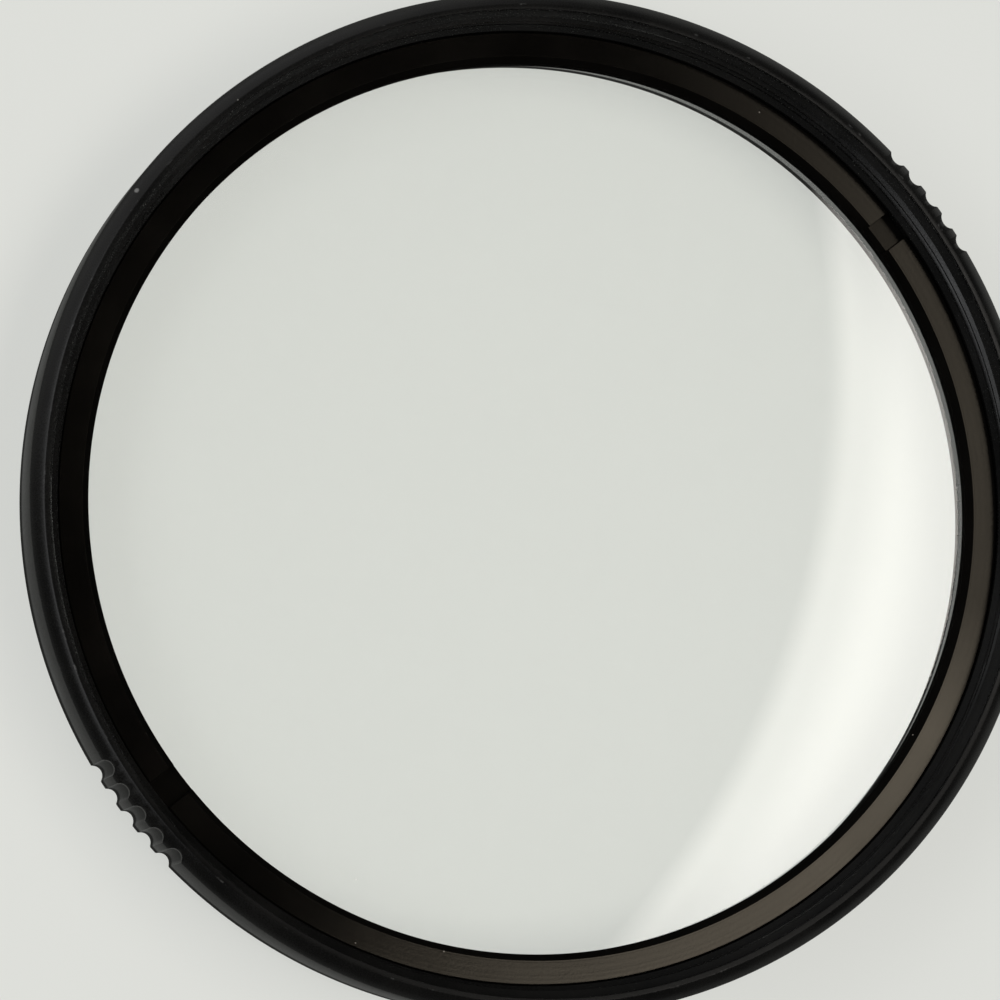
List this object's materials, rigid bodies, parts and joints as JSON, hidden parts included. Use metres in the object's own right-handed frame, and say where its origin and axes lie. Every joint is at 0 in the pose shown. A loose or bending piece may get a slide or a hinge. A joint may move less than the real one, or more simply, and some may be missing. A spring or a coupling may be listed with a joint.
{
  "type": "ultraviolet lens filter",
  "caption": "Round screw-in lens filter: clear glass window in a black anodised frame, male thread behind, female thread in front, notched grip patches and a slotted retaining ring.",
  "frame": {"origin": "centre of the rear end plane of the male thread, on which the filter lies", "axes": "+Z along the optical axis, from the lens towards the front; the two grip patches are centred on +X and -X"},
  "size_m": [0.054, 0.054, 0.0072],
  "materials": {
    "frame_finish": "black anodised, satin",
    "retainer_finish": "black anodised, fine matt",
    "window_glass": "polished, clear with a faint grey-green tint"
  },
  "bodies": {
    "root": {"frame_ring": "frame_finish", "glass_window": "window_glass", "retaining_ring": "retainer_finish"}
  },
  "joints": []
}
